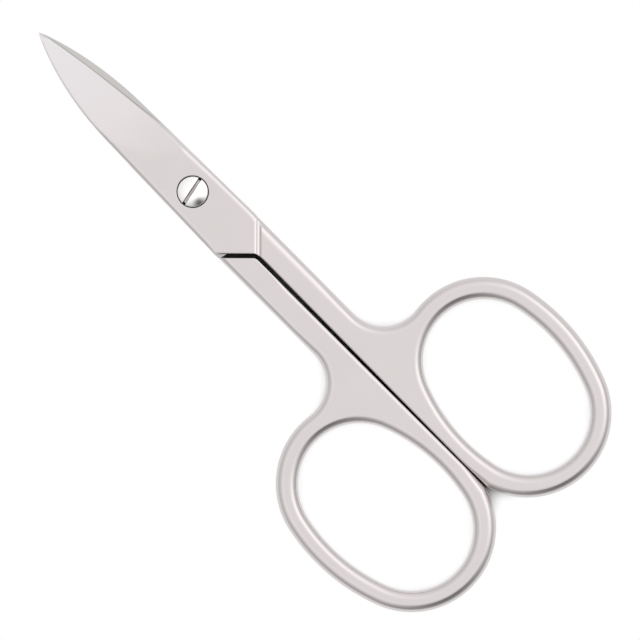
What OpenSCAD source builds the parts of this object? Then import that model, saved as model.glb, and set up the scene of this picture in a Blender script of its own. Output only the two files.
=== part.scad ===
// Nail scissors: two forged halves crossing in a half-lap joint, held by one slotted screw.
// The pivot axis is Z, the tips point along +X, and the underside lies at Z = 0.

/* [Stock] */
// Thickness of the shanks and finger rings
stock_t = 3.2; // [2.8:0.1:3.8]
// Play between the two mating faces of the joint
lap_gap = 0.08; // [0.04:0.02:0.16]
// Radius of the rounded outer edges of shanks and rings
edge_r = 1; // [0.6:0.05:1.1]
// Chamfer on the inner edges of the shanks
break_c = 0.2; // [0.1:0.05:0.3]

/* [Finger rings] */
// Distance from the pivot back to the middle of a ring
ring_x = 46.1; // [43:0.2:52]
// Distance of the middle of a ring from the centre line
ring_y = 10.8; // [10.4:0.1:11.2]
// Width of a ring outside
ring_w = 23; // [22.6:0.1:24]
// Half the width of a ring less the radius of its ends, which sets how long it is
ring_swell = 0.62; // [0.56:0.01:0.7]
// Lean of the ring and its finger hole
ring_lean = 4.6; // [2:0.2:6]
// Width of the finger hole
hole_w = 17.1; // [15:0.1:17.4]
// Half the width of the hole less the radius of its ends, which sets how long it is
hole_swell = 0.63; // [0.5:0.01:0.66]
// How far the finger hole lies behind the middle of the ring
hole_back = 0.1; // [0:0.05:0.5]
// How far the finger hole lies outside the middle of the ring
hole_out = 0.15; // [0:0.05:0.4]
// Clearance left where the two rings meet when closed
stop_gap = 0.12; // [0.06:0.02:0.3]

/* [Shanks] */
// Distance of the outer side of a shank from the centre line
shank_y = 3.65; // [3.3:0.05:4.2]
// Gap between the shanks at the joint
shank_gap = 0.5; // [0.3:0.05:0.8]
// Radius where a shank flows into its ring
fork_r = 5.3; // [4.5:0.1:6.5]
// Width of the slanting groove on the outer face
groove_w = 0.8; // [0.4:0.1:1.2]
// Depth of the slanting groove
groove_d = 0.2; // [0.1:0.05:0.4]

/* [Joint] */
// Distance from the pivot back to the point of the chevron gap
shoulder_x = 11.6; // [10.6:0.1:13]
// Width of the joint at its handle end
joint_w = 7.42; // [7:0.02:8]
// Radius of the rounded corners beside the chevron gap
corner_r = 1.2; // [0.6:0.1:1.8]
// Radius of the upper edges of the joint
joint_edge_r = 0.45; // [0.2:0.05:0.6]

/* [Blades] */
// Distance from the pivot to the tips
blade_l = 28.5; // [25:0.5:34]
// Width of a blade where its back starts to curve
blade_w = 6.6; // [6:0.1:7]
// Distance from the pivot to where the back starts to curve
curve_x = 12.8; // [11:0.2:15]
// Distance from the pivot to where the cutting edge starts
edge_x = 8; // [7:0.2:10]
// Angle at which the cutting edge leaves the side of the joint
edge_angle = 5.2; // [3:0.2:6]
// Sideways lean of both closed tips
tip_lean = 0.4; // [0:0.05:0.8]
// How far the cutting bevel leans in over the full thickness
bevel_w = 0.5; // [0.2:0.05:0.8]
// Sideways slope of the ground outer face
grind_slope = 8; // [4:0.5:9]
// Lengthwise slope of the ground outer face
grind_taper = 1.7; // [1:0.1:2]
// Radius of the run-out of the ground outer face
grind_r = 44; // [30:1:60]
// Distance from the pivot to the start of the hollow in the mating face
hollow_x = 6; // [5:0.2:9]
// Depth of that hollow where it starts
hollow_d = 0.12; // [0.06:0.02:0.2]

/* [Screw] */
// Diameter of the screw head
head_d = 4.1; // [3.6:0.1:4.6]
// Height of the dome of the head
dome_h = 0.55; // [0.2:0.05:0.6]
// Diameter of the bearing neck
neck_d = 2.5; // [2.2:0.1:2.8]
// Diameter of the threaded end
thread_d = 2.2; // [1.8:0.1:2.2]
// Clearance all round the neck in its bore
bore_fit = 0.05; // [0.02:0.01:0.1]
// Clearance all round the head in its seat
seat_fit = 0.1; // [0.05:0.01:0.15]
// Clearance all round the threaded end
thread_fit = 0.01; // [0.005:0.005:0.02]
// Width of the screwdriver slot
slot_w = 0.42; // [0.3:0.02:0.6]
// Depth of the screwdriver slot below the rim
slot_d = 0.35; // [0.2:0.05:0.5]
// Direction of the screwdriver slot
slot_angle = 102; // [0:1:180]

/* [Hidden] */
$fn = 96;
// Overrun of every cutting solid past the face it cuts
over = 1;
// Reach of the limiting solids, wider than the joint
reach = 12;
// Step left where the straight back of a blade runs into its curve
seam = 0.01;
// Step left where the round of the fork runs into shank and ring
fork_step = 0.03;
// Sides of the right triangle from an oval's middle over the middle of an end arc to that of a
// side arc, in units of the swell: the arcs meet in line with its longest side
oval_shares = [7, 24, 25];
// Share of the blade's width that the hollow takes
hollow_share = 0.8;
// Share of the groove's width on its steep side
steep_share = 0.35;
lap_t = (stock_t - lap_gap) / 2;
lap_z = stock_t - lap_t;
half_gap = shank_gap / 2;
back_x = shoulder_x + half_gap * sqrt(2);
joint_x = shoulder_x - joint_w / 2;
ring_end_r = ring_w / 2 - ring_swell;
ring_end_x = ring_swell * oval_shares.x;

function rot2(p, a) = [p.x * cos(a) - p.y * sin(a), p.x * sin(a) + p.y * cos(a)];
// Radius of the arc that leaves point s at slope m and passes through point e
function arc_r(s, m, e) = (pow(e.x - s.x, 2) + pow(e.y - s.y, 2)) * sqrt(1 + m * m)
                          / (2 * abs(e.y - s.y - m * (e.x - s.x)));
// Sideways shift of the blade centre line at distance x, growing with its square
function lean_at(x, tip_y) = tip_y * pow(x / blade_l, 2);

// Waste that leaves a corner rounded to radius r about the origin
module corner_waste(r) {
    difference() {
        square(r + over);
        circle(r);
    }
}

// Section of a disc with a rounded rim, from its axis out to radius r
module rim_section(r) {
    difference() {
        square([r, stock_t]);
        translate([r - edge_r, stock_t - edge_r]) corner_waste(edge_r);
        translate([r - edge_r, edge_r]) mirror([0, 1]) corner_waste(edge_r);
    }
}

// Section of the cutter for a hole of radius r whose two edges come out rounded
module flare_section(r) {
    translate([0, -over]) square([r, stock_t + 2 * over]);
    for (top = [0, 1])
        translate([0, top * stock_t]) mirror([0, top])
            difference() {
                translate([r, -over]) square([edge_r, edge_r + over]);
                translate([r + edge_r, edge_r]) circle(edge_r);
            }
}

// Four-arc oval, as a rounded disc or as the cutter for a hole
module oval(width, swell, cutter) {
    end_r = width / 2 - swell;
    side_r = end_r + swell * oval_shares.z;
    end_at = [swell * oval_shares.x, 0];
    side_at = [0, -swell * oval_shares.y];
    far_at = end_at + 2 * (end_at - side_at);
    for (turn = [0, 180]) rotate(turn) {
        slice([end_at, [far_at.x, -far_at.y], [2 * far_at.x, 0], far_at])
            translate(end_at) rotate_extrude()
                if (cutter) flare_section(end_r); else rim_section(end_r);
        slice([-end_at, end_at, far_at, [-far_at.x, far_at.y]])
            translate(side_at) rotate_extrude()
                if (cutter) flare_section(side_r); else rim_section(side_r);
    }
}

// Keeps what lies inside the outline at any height
module slice(outline) {
    intersection() {
        children();
        translate([0, 0, -2 * over]) linear_extrude(stock_t + 4 * over) polygon(outline);
    }
}

// Shank and finger ring at full thickness, ending at the slanting shoulder
module handle() {
    ring_at = [-ring_x, -ring_y];
    ring_end = ring_at + rot2([ring_end_x, 0], -ring_lean);
    fork_y = -shank_y - fork_r;
    fork_x = ring_end.x + sqrt(pow(ring_end_r + fork_r, 2) - pow(fork_y - ring_end.y, 2));
    difference() {
        union() {
            translate(ring_at) rotate(-ring_lean) oval(ring_w, ring_swell, false);
            linear_extrude(stock_t)
                polygon([[fork_x, 0], [fork_x, fork_y], ring_end, [ring_end.x, 0]]);
            translate([fork_x - over, 0, 0]) rotate([90, 0, 90]) linear_extrude(over - fork_x)
                mirror([1, 0]) rim_section(shank_y);
        }
        translate([fork_x, fork_y, 0]) rotate_extrude() flare_section(fork_r - fork_step);
        translate(ring_at + [-hole_back, -hole_out]) rotate(-ring_lean)
            oval(hole_w, hole_swell, true);
        shoulder_cutter();
    }
}

// Removes what lies past the shoulder, and rounds its inner corner
module shoulder_cutter() {
    corner = corner_r - shank_gap;
    middle = [half_gap + corner - corner * sqrt(2) - back_x, -half_gap - corner];
    translate([0, 0, -over]) linear_extrude(stock_t + 2 * over)
        polygon(concat(
            [for (a = [90:-7.5:45]) middle + corner * [cos(a), sin(a)]],
            [[reach - back_x, -reach], [reach, -reach], [reach, reach], [middle.x, reach]]));
}

// Half the width of joint and blade at distance x, before the back starts to curve
function half_w(x) = (joint_w + (blade_w - joint_w) * (x + joint_x) / (curve_x + joint_x)) / 2;

// Edge section of the lap plate, from its outer side inwards, with the upper edge rounded
module rounded_edge() {
    difference() {
        square([reach, lap_t]);
        translate([joint_edge_r, lap_t - joint_edge_r])
            mirror([1, 0]) corner_waste(joint_edge_r);
    }
}

// Edge section of the blade, whose outer side leans in as the cutting bevel
module bevel_edge() {
    polygon([[0, 0], [reach, 0], [reach, lap_t], [bevel_w, lap_t]]);
}

// Limit of the lap plate along the line through point s at slope m, ending ahead of s
module line_limit(s, m, ahead) {
    translate([s.x, s.y, lap_z]) rotate(atan(m)) translate([ahead, 0, 0]) rotate([90, 0, -90])
        linear_extrude(s.x + back_x + reach + ahead) children();
}

// Limit of the lap plate along the arc from point s to the tip, starting behind s
module arc_limit(s, slope, tip, behind) {
    r = arc_r(s, slope, tip);
    middle = s + r * [slope, -1] / sqrt(1 + slope * slope);
    first = atan2(tip.y - middle.y, tip.x - middle.x) - asin(over / r);
    last = atan2(1, -slope) + asin(behind / r);
    translate([middle.x, middle.y, lap_z]) rotate(first)
        rotate_extrude(angle = last - first) translate([r, 0]) mirror([1, 0]) children();
}

// Half-thickness plate that is the joint and the blade: cutting edge on the -Y side, back on +Y
module lap_plate(tip_y) {
    tip = [blade_l, tip_y];
    spine = [curve_x, half_w(curve_x) + lean_at(curve_x, tip_y)];
    edge = [edge_x, half_w(edge_x) - lean_at(edge_x, tip_y)];
    spine_m = (spine.y - joint_w / 2) / (spine.x + joint_x);
    root = [-back_x, -half_gap - corner_r];
    intersection() {
        translate([0, 0, lap_z]) linear_extrude(lap_t)
            polygon([[reach + root.x, -reach], [root.x - root.y, root.y],
                     [root.x - root.y - corner_r, root.y], [root.x - root.y - corner_r, reach],
                     [blade_l + over, reach], [blade_l + over, -reach]]);
        union() {
            line_limit(spine, spine_m, 0) rounded_edge();
            arc_limit(spine - [0, seam], spine_m, tip, over) rounded_edge();
        }
        mirror([0, 1, 0]) intersection() {
            line_limit(edge, (edge.y - joint_w / 2) / (edge.x + joint_x), blade_l) rounded_edge();
            arc_limit(edge, -tan(edge_angle), [tip.x, -tip.y], edge.x + back_x + over) bevel_edge();
        }
    }
}

// Removes the gap between the shanks and the far side of the chevron gap, and breaks its edges
module gap_cutter() {
    stop_x = ring_x + ring_end_x;
    front_x = shoulder_x - half_gap * sqrt(2);
    corner = [-half_gap - front_x, -half_gap];
    middle = [corner.x + corner_r - corner_r * sqrt(2), corner.y + corner_r];
    fall = (half_gap - stop_gap / 2) / (stop_x + middle.x);
    far_x = stop_x + ring_w;
    far = [-far_x, corner.y + fall * (far_x + middle.x)];
    translate([0, 0, -over]) linear_extrude(stock_t + 2 * over)
        polygon(concat([far], [for (a = [-90:7.5:-45]) middle + corner_r * [cos(a), sin(a)]],
                       [[reach - front_x, reach], [far.x, reach]]));
    for (top = [0, 1])
        translate([middle.x, corner.y, top * stock_t]) rotate(-atan(fall)) rotate([45, 0, 0])
            translate([far.x, -break_c / sqrt(2), -break_c / sqrt(2)])
                cube([(1 - top) * corner_r - far.x, break_c * sqrt(2), break_c * sqrt(2)]);
}

// Slanting groove on the outer face, along the end of the full thickness
module groove_cutter() {
    side = groove_w / 2;
    translate([-back_x, 0, stock_t]) rotate(-45) rotate([90, 0, 90]) linear_extrude(reach)
        polygon([[-side, 0], [groove_w * steep_share - side, -groove_d], [side, 0],
                 [side, over], [-side, over]]);
}

// Ground outer face of the blade: a slope with the round run-out of the grinding wheel
module grind_cutter(tip_y) {
    translate([curve_x, half_w(curve_x) + lean_at(curve_x, tip_y), stock_t])
        rotate([grind_slope, grind_taper, 0]) rotate([90, 0, 0])
            linear_extrude(4 * reach, center = true) {
                translate([0, grind_r]) circle(grind_r);
                square([blade_l, grind_r]);
            }
}

// Shallow hollow along the mating face of the blade, dying out towards the tip
module hollow_cutter(tip_y) {
    r = pow(hollow_share * blade_w / 2, 2) / (2 * hollow_d);
    translate([hollow_x, 0, lap_z + hollow_d])
        rotate([0, 90 + atan(hollow_d / (blade_l - hollow_x - over)), atan(tip_y / blade_l)])
            translate([r, 0, 0]) cylinder(h = blade_l, r = r);
}

// One half before it is drilled, outer face up, with its ring on the -Y side
module half_blank(tip_y) {
    difference() {
        union() {
            handle();
            lap_plate(tip_y);
        }
        gap_cutter();
        groove_cutter();
        grind_cutter(tip_y);
        hollow_cutter(tip_y);
    }
}

// Upper half: blade on top, drilled and countersunk for the screw
module front_half() {
    bore_r = neck_d / 2 + bore_fit;
    seat_r = head_d / 2 + seat_fit;
    color("gainsboro") difference() {
        half_blank(-tip_lean);
        translate([0, 0, -over]) cylinder(h = stock_t + 2 * over, r = bore_r);
        translate([0, 0, stock_t - seat_r + bore_r])
            cylinder(h = seat_r - bore_r, r1 = bore_r, r2 = seat_r);
        translate([0, 0, stock_t]) cylinder(h = over, r = seat_r);
    }
}

// Lower half: the same forging turned over, with the tapped hole
module rear_half() {
    color("lightgray") difference() {
        translate([0, 0, stock_t]) rotate([180, 0, 0]) half_blank(tip_lean);
        translate([0, 0, -over]) cylinder(h = stock_t + 2 * over, r = thread_d / 2 + thread_fit);
    }
}

// Slotted screw: domed countersunk head, bearing neck and threaded end ground flush underneath
module pivot_screw() {
    head_r = head_d / 2;
    neck_r = neck_d / 2;
    dome_r = (head_r * head_r + dome_h * dome_h) / (2 * dome_h);
    color("whitesmoke") difference() {
        union() {
            cylinder(h = lap_t, r = thread_d / 2);
            translate([0, 0, lap_t]) cylinder(h = stock_t - lap_t, r = neck_r);
            intersection() {
                translate([0, 0, stock_t + dome_h - dome_r]) sphere(dome_r);
                translate([0, 0, stock_t - head_r + neck_r])
                    cylinder(h = head_r, r1 = neck_r, r2 = neck_r + head_r);
            }
        }
        rotate(slot_angle) translate([-head_d, -slot_w / 2, stock_t - slot_d])
            cube([2 * head_d, slot_w, slot_d + dome_h + over]);
    }
}

front_half();
rear_half();
pivot_screw();
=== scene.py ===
# %% [markdown]
# Nail scissors: two stainless forgings that cross in a half-lap joint, and one slotted screw.
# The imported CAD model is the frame: the pivot is Z, the tips point along +X and the lower
# side lies at Z = 0. Each solid is replaced by a finer surface of the same size. Sizes are in
# millimetres until a mesh is handed to Blender, which works in metres.

# %% Load the frame
import math
import bpy
import numpy as np
from mathutils import Matrix
from mathutils.geometry import delaunay_2d_cdt


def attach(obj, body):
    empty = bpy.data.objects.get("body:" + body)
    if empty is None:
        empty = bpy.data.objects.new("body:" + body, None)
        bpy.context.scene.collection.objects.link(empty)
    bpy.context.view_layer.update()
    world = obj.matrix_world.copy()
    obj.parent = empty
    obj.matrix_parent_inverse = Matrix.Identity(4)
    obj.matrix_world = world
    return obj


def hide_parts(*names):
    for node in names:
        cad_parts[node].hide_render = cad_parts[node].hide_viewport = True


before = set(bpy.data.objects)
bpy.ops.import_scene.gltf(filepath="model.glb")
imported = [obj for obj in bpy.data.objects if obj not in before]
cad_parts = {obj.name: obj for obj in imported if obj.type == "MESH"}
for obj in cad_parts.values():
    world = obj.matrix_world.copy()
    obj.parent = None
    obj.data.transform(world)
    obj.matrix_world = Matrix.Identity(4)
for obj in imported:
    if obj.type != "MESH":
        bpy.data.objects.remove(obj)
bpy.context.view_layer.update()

# %% [markdown]
# The two halves are the same forging, one of them turned over, so one set of sizes serves
# both. They describe a half with its outer face up: ring and cutting edge on the -Y side,
# back of the blade on +Y.

# %% Sizes of the forging
MM = 0.001
STOCK = 3.2                       # thickness of shank and ring
PLATE = 1.56                      # thickness of the joint plate and the blade
LAP_Z = STOCK - PLATE             # height of the mating face
TIP_X, TIP_LEAN = 28.5, 0.4       # the tip, and how far it leans sideways
JOINT_W, JOINT_X = 7.42, 7.89     # width of the joint, that far behind the pivot
BLADE_W, CURVE_X, EDGE_X = 6.6, 12.8, 8.0     # width where the back curves; start of the edge
RING_AT, LEAN = np.array([-46.1, -10.8]), math.radians(-4.6)
HOLE_AT = RING_AT + [-0.1, -0.15]
RING_W, RING_SWELL, HOLE_W, HOLE_SWELL = 22.988, 0.62, 17.1, 0.63
SHANK_Y, FORK_R = 3.65, 5.3       # outer side of the shank, and the hollow before the ring
BACK_X = 11.954                   # the groove runs along x + y = -BACK_X
CORNER_AT, CORNER_R = np.array([-11.993, 0.95]), 1.2     # where the plate's end meets the gap
print("shank", STOCK, "mm thick, plate and blade", PLATE, "mm, ring", RING_W, "mm wide")

# %% [markdown]
# An outline is a chain of straight lines and arcs, as a die for a forging is drawn. Points
# are spaced evenly, and marks such as the ends of the groove are kept exactly, so that a
# crease can run from point to point.

# %% Lines and arcs
STEP = 0.35                       # spacing of points along an outline


def spaced(start, stop, step, marks=()):
    """Evenly spaced values from start to stop, with the marks in place of the values that lie
    nearer to them than 0.4 of a step."""
    count = max(2, int(round(abs(stop - start) / step)) + 1)
    values = np.linspace(start, stop, count)
    marks = np.asarray([m for m in marks if min(start, stop) < m < max(start, stop)])
    if len(marks):
        near = np.abs(values[:, None] - marks).min(1) < 0.4 * step
        near[[0, -1]] = False
        values = np.sort(np.concatenate([values[~near], marks]))
        values = values if stop > start else values[::-1]
    return values


def unit(angle):
    """Points (cos a, sin a) of the unit circle."""
    return np.stack([np.cos(angle), np.sin(angle)], -1)


def arc(middle, radius, start, stop, step=STEP, marks=()):
    """Points at middle + radius (cos a, sin a), for the angle a from start to stop in degrees."""
    angle = np.radians(spaced(start, stop, math.degrees(step / radius), marks))
    return np.asarray(middle) + radius * unit(angle)


def straight(start, stop, step=STEP):
    """Points start + t (stop - start), for t from 0 to 1."""
    start, stop = np.asarray(start, float), np.asarray(stop, float)
    count = max(2, int(round(np.linalg.norm(stop - start) / step)) + 1)
    return start + np.linspace(0, 1, count)[:, None] * (stop - start)


def turned(point, angle):
    """The point turned about the origin: (x cos a - y sin a, x sin a + y cos a)."""
    c, s = math.cos(angle), math.sin(angle)
    return np.array([point[0] * c - point[1] * s, point[0] * s + point[1] * c])


print("a quarter of a 5 mm circle takes", len(arc((0, 0), 5, 0, 90)), "points")

# %% [markdown]
# A finger ring is an oval. An ellipse would come close, but four arcs are what a maker draws
# and gauges: two round ends and two flatter sides, which meet in line with a 7-24-25 triangle
# and so without a kink.

# %% Arcs of a ring
JOIN = math.degrees(math.atan2(24, 7))     # direction in which the arcs of a ring meet
TILT = math.degrees(LEAN)


def oval_arcs(at, width, swell):
    """Middles of the four arcs of a ring, two ends on the long axis and two flat sides, and
    their radii, which differ by 25 swells."""
    end_r = width / 2 - swell
    side_r = end_r + 25 * swell
    middles = [at + turned(p, LEAN) for p in
               [(7 * swell, 0), (0, -24 * swell), (-7 * swell, 0), (0, 24 * swell)]]
    return middles, end_r, side_r


_, end_radius, side_radius = oval_arcs(RING_AT, RING_W, RING_SWELL)
print("ring: ends of radius", round(end_radius, 2), "and sides of", round(side_radius, 2), "mm")

# %% [markdown]
# The blade is bounded by two arcs that meet in the tip. The back leaves the joint straight
# and then bends, and the cutting edge leaves its side at a small angle. The real blade is
# ground by hand and a little stouter than that, which the belly adds.

# %% Curves of back and cutting edge
EDGE_SLOPE = math.tan(math.radians(5.2))
BACK_BELLY, EDGE_BELLY = (16, 0.1), (12, 0.18)     # where each belly starts, and its most


def half_width(x):
    """Half the width of joint and blade at x, falling evenly from the joint to the blade."""
    return (JOINT_W + (BLADE_W - JOINT_W) * (x + JOINT_X) / (CURVE_X + JOINT_X)) / 2


def tangent_arc(start, slope, end):
    """Middle and radius of the circle that leaves start at a slope and passes through end:
    the radius is chord squared over twice the distance of end from the tangent."""
    dx, dy = end[0] - start[0], end[1] - start[1]
    root = math.sqrt(1 + slope * slope)
    radius = (dx * dx + dy * dy) * root / (2 * abs(dy - slope * dx))
    return np.array([start[0] + radius * slope / root, start[1] - radius / root]), radius


def blade_curves(tip_y):
    """Back and cutting edge of a blade whose tip leans sideways by tip_y."""
    lean = lambda x: tip_y * (x / TIP_X) ** 2
    back = np.array([CURVE_X, half_width(CURVE_X) + lean(CURVE_X)])
    edge = np.array([EDGE_X, half_width(EDGE_X) - lean(EDGE_X)])
    back_slope = (back[1] - JOINT_W / 2) / (back[0] + JOINT_X)
    side_slope = (edge[1] - JOINT_W / 2) / (edge[0] + JOINT_X)
    back_at, back_r = tangent_arc(back, back_slope, (TIP_X, tip_y))
    edge_at, edge_r = tangent_arc(edge, -EDGE_SLOPE, (TIP_X, -tip_y))
    return dict(tip=np.array([TIP_X, tip_y]), back=back, back_at=back_at, back_r=back_r,
                back_slope=back_slope, edge=edge * [1, -1], edge_at=edge_at * [1, -1],
                edge_r=edge_r, side_slope=side_slope)


def belly(x, start, most):
    """What hand grinding left outside an arc: s^2 (3 - 2 s) (1 - s^30) times the most, for the
    share s of the way from start to the tip."""
    s = np.clip((x - start) / (TIP_X - start), 0, 1)
    return most * s * s * (3 - 2 * s) * (1 - s ** 30)


upper_curves = blade_curves(-TIP_LEAN)
print("radius of the back %(back_r).1f mm, of the edge %(edge_r).1f mm" % upper_curves)

# %% [markdown]
# A slanting groove crosses the outer face where the full thickness of the shank ends. Its
# section is a shallow step, a thin scribed line and a V, listed as distance across it,
# towards the tip, and depth.

# %% Section of the groove
GROOVE = np.array([[-0.42, 0], [-0.13, 0.24], [0.13, 0.16], [0.18, 0.2], [0.23, 0.08],
                   [0.52, 0]])


def groove_depth(x, y):
    """Depth of the groove, read from its section at the distance from the 45 degree line
    x + y = -BACK_X."""
    return np.interp((x + y + BACK_X) / math.sqrt(2), GROOVE[:, 0], GROOVE[:, 1],
                     left=0, right=0)


print("groove", round(np.ptp(GROOVE[:, 0]), 2), "mm wide,", GROOVE[:, 1].max(), "mm deep")

# %% [markdown]
# Three stretches of the outline have a rule of their own: the side of the shank, which steps
# out to the wider joint, the gap between the shanks, which closes towards the rings, and the
# rounded corner of the plate.

# %% Side, gap and corner of the plate
GAP_Y, GAP_FALL = -0.25, (0.25 - 0.06) / (50.44 - 11.993)
CUT_X, CUT_R = -11.246, 0.7       # the plate ends along x = y + CUT_X
FINE_STEP = 0.12                  # spacing of points round a small corner
STEP_OUT = 0.6                    # length over which the side steps out to the joint


def side_y(x, curves):
    """Outer side of the half: the shank's straight side, which swells smoothly, by
    t^2 (3 - 2 t), into the side of the joint just past the shoulder."""
    joint = -(JOINT_W / 2 + curves["side_slope"] * (x + JOINT_X))
    t = np.clip((x + BACK_X - SHANK_Y) / STEP_OUT, 0, 1)
    return -SHANK_Y + (joint + SHANK_Y) * t * t * (3 - 2 * t)


def gap_line(x):
    """Side of the gap: y = GAP_Y + GAP_FALL times the distance from its corner."""
    return GAP_Y + GAP_FALL * (CORNER_AT[0] - x)


def plate_corner(slope):
    """The arc that rounds the plate's corner, and the point where it leaves the side. Its
    middle lies one radius inside the side, which has that slope, and inside the slant."""
    at, slant = math.atan(slope), CUT_X + CUT_R * math.sqrt(2)
    x = (JOINT_W / 2 + slope * JOINT_X - CUT_R / math.cos(at) + slant) / (1 - slope)
    middle = np.array([x, x - slant])
    corner = arc(middle, CUT_R, 90 + math.degrees(at), 135, FINE_STEP)
    return corner, middle - turned((0, -CUT_R), at)


print("the gap closes from", -2 * GAP_Y, "to", round(-2 * gap_line(-50.44), 2), "mm")

# %% [markdown]
# The outline runs anticlockwise from the tip: back, slanting end of the plate, gap, ring,
# fork, outer side and cutting edge. With each stretch goes the width of the rounding on its
# upper edge and its flatness, which is height over width: the ring is well rounded, the shank
# more flatly, and the gap is hardly broken.

# %% Outline of one half
EDGE_R, SHANK_R, SIDE_R, BACK_R, TIP_R = 1.12, 1.25, 0.92, 0.72, 0.35    # ring, shank, blade
GAP_R, FINE_R = 0.36, 0.2
FLAT = 0.65                       # flatness along shank and joint


def half_outline(tip_y):
    """Outline points, width and flatness of the rounding at each, the columns of the
    landmarks, and the curves of the blade."""
    c = blade_curves(tip_y)
    angle = lambda p, m: math.degrees(math.atan2(p[1] - m[1], p[0] - m[0]))
    back = arc(c["back_at"], c["back_r"], angle(c["tip"], c["back_at"]),
               angle(c["back"], c["back_at"]))
    back[:, 1] += belly(back[:, 0], *BACK_BELLY)
    corner, corner_in = plate_corner(c["back_slope"])
    end_cut = CORNER_AT + CORNER_R * math.sqrt(0.5) * np.array([1, -1])
    # gap corner and gap, with the places where the groove lines leave through them
    sums = GROOVE[:, 0] * math.sqrt(2) - BACK_X          # x + y along each groove line
    sines = (sums - CORNER_AT.sum()) / CORNER_R / math.sqrt(2)
    on_arc = [math.degrees(math.asin(s)) - 45 for s in sines if abs(s) < math.sqrt(0.5)]
    gap_corner = arc(CORNER_AT, CORNER_R, -45, -90, FINE_STEP, on_arc)
    gap_start = CORNER_AT - [0, CORNER_R]
    on_gap = (sums - GAP_Y - GAP_FALL * CORNER_AT[0]) / (1 - GAP_FALL)
    middles, end_r, flat_r = oval_arcs(RING_AT, RING_W, RING_SWELL)
    heading = np.array([-1, GAP_FALL]) / math.hypot(1, GAP_FALL)
    off = gap_start - middles[2]
    along = off @ heading
    meet = gap_start + (math.sqrt(along ** 2 - off @ off + end_r ** 2) - along) * heading
    gap_x = spaced(CORNER_AT[0], meet[0], STEP, on_gap)
    gap = np.stack([gap_x, gap_line(gap_x)], -1)
    # round the ring, through the fork, along the side and the cutting edge
    ring = [arc(middles[2], end_r, angle(meet, middles[2]), 180 + JOIN + TILT),
            arc(middles[3], flat_r, 180 + JOIN + TILT, 360 - JOIN + TILT)]
    fork_y = -SHANK_Y - FORK_R
    fork_x = middles[0][0] + math.sqrt((end_r + FORK_R) ** 2 - (fork_y - middles[0][1]) ** 2)
    leave = angle((fork_x, fork_y), middles[0])
    ring += [arc(middles[0], end_r, TILT - JOIN, leave)]
    hollow = arc((fork_x, fork_y), FORK_R, 180 + leave, 90, 0.25)
    on_side = sums + SHANK_Y
    for _ in range(4):
        on_side = sums - side_y(on_side, c)
    side_x = spaced(fork_x, EDGE_X, STEP, [*on_side, SHANK_Y - BACK_X])
    side = np.stack([side_x, side_y(side_x, c)], -1)
    cutting = arc(c["edge_at"], c["edge_r"], angle(c["edge"], c["edge_at"]),
                  angle(c["tip"], c["edge_at"]))
    cutting[:, 1] -= belly(cutting[:, 0], *EDGE_BELLY)
    # width and flatness of the rounding, averaged over seven points so that they run on
    gap_w = np.interp(gap_x, [meet[0], meet[0] + 4], [EDGE_R, GAP_R])
    side_w = np.interp(side_x, [-25, -20, -9.6, -7.4, 0, 3],
                       [EDGE_R, SHANK_R, SHANK_R, SIDE_R - 0.12, SIDE_R - 0.12, SIDE_R])
    side_flat = np.interp(side_x, [-25, -20], [1, FLAT])
    cut_w, cut_flat = (np.interp(cutting[:, 0], [EDGE_X, EDGE_X + 1.5], ends)
                       for ends in ([SIDE_R, TIP_R], [FLAT, 1]))
    parts = [(back, BACK_R, FLAT), (straight(c["back"], corner_in), BACK_R, FLAT),
             (corner, 0.3, 1), (straight(corner[-1], end_cut), FINE_R, 1),
             (gap_corner, 0.16, 1), (gap, gap_w, 1)] + [(p, EDGE_R, 1) for p in ring]
    parts += [(hollow, EDGE_R, 1), (side, side_w, side_flat), (cutting, cut_w, cut_flat)]
    points = np.concatenate([p[:-1] for p, _, _ in parts])
    edge = [np.concatenate([np.broadcast_to(part[k], len(part[0]))[:-1] for part in parts])
            for k in (1, 2)]
    edge = np.stack([np.convolve(np.concatenate([e[-3:], e, e[:3]]), np.ones(7) / 7, "valid")
                     for e in edge])
    near = lambda p: int(np.argmin(np.hypot(*(points - p).T)))
    marks = dict(tip=0, cut=near(corner[-1]), corner=near(end_cut), gap=near(gap_start),
                 meet=near(meet), shoulder=near([SHANK_Y - BACK_X, -SHANK_Y]))
    marks["groove_in"] = [near([x, gap_line(x)]) for x in on_gap if x < CORNER_AT[0]]
    marks["groove_in"] += [near(CORNER_AT + CORNER_R * unit(a)) for a in np.radians(on_arc)]
    marks["groove_out"] = [near([x, float(side_y(x, c))]) for x in on_side]
    return points, edge, marks, c


outline, _, landmarks, _ = half_outline(-TIP_LEAN)
print("outline of", len(outline), "points;", landmarks)

# %% [markdown]
# The ground face of a blade is a flat slope that ends in the round of the wheel, and the
# cutting bevel is a cone. Booleans would leave long thin triangles, so both, and the rounded
# edges, are height functions over the plan: the metal reaches up to the lowest of them.

# %% Height functions
GRIND_R, SOFT = 50.0, 0.04        # the wheel, and the softness of the line that it leaves
CS, SS = math.cos(math.radians(8)), math.sin(math.radians(8))         # slope of the face
CT, ST = math.cos(math.radians(1.7)), math.sin(math.radians(1.7))     # its taper to the tip
BEVEL = ([13, 20], [0.5, 0.38])   # width of the bevel at two places along the blade
GROUND_FROM, BEVEL_FROM = -1, -4  # behind these neither is looked for


def ground_z(x, y, curves):
    """Height of the ground face: a plane tilted by slope and taper through the start of the
    back's curve, and behind it the wheel's circle, which rises out of it. Found by Newton's
    steps."""
    ox, oy = curves["back"]
    z = np.full(np.shape(x), STOCK)
    for _ in range(8):
        u = (x - ox) * CT - (z - STOCK) * ST
        v = (x - ox) * ST * CS - (y - oy) * SS + (z - STOCK) * CT * CS
        back = np.clip(u, -0.9 * GRIND_R, 0)
        root = np.sqrt(GRIND_R ** 2 - back ** 2)
        z = z - (v - (GRIND_R - root)) / (CT * CS + back / root * ST)
    return z


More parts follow.
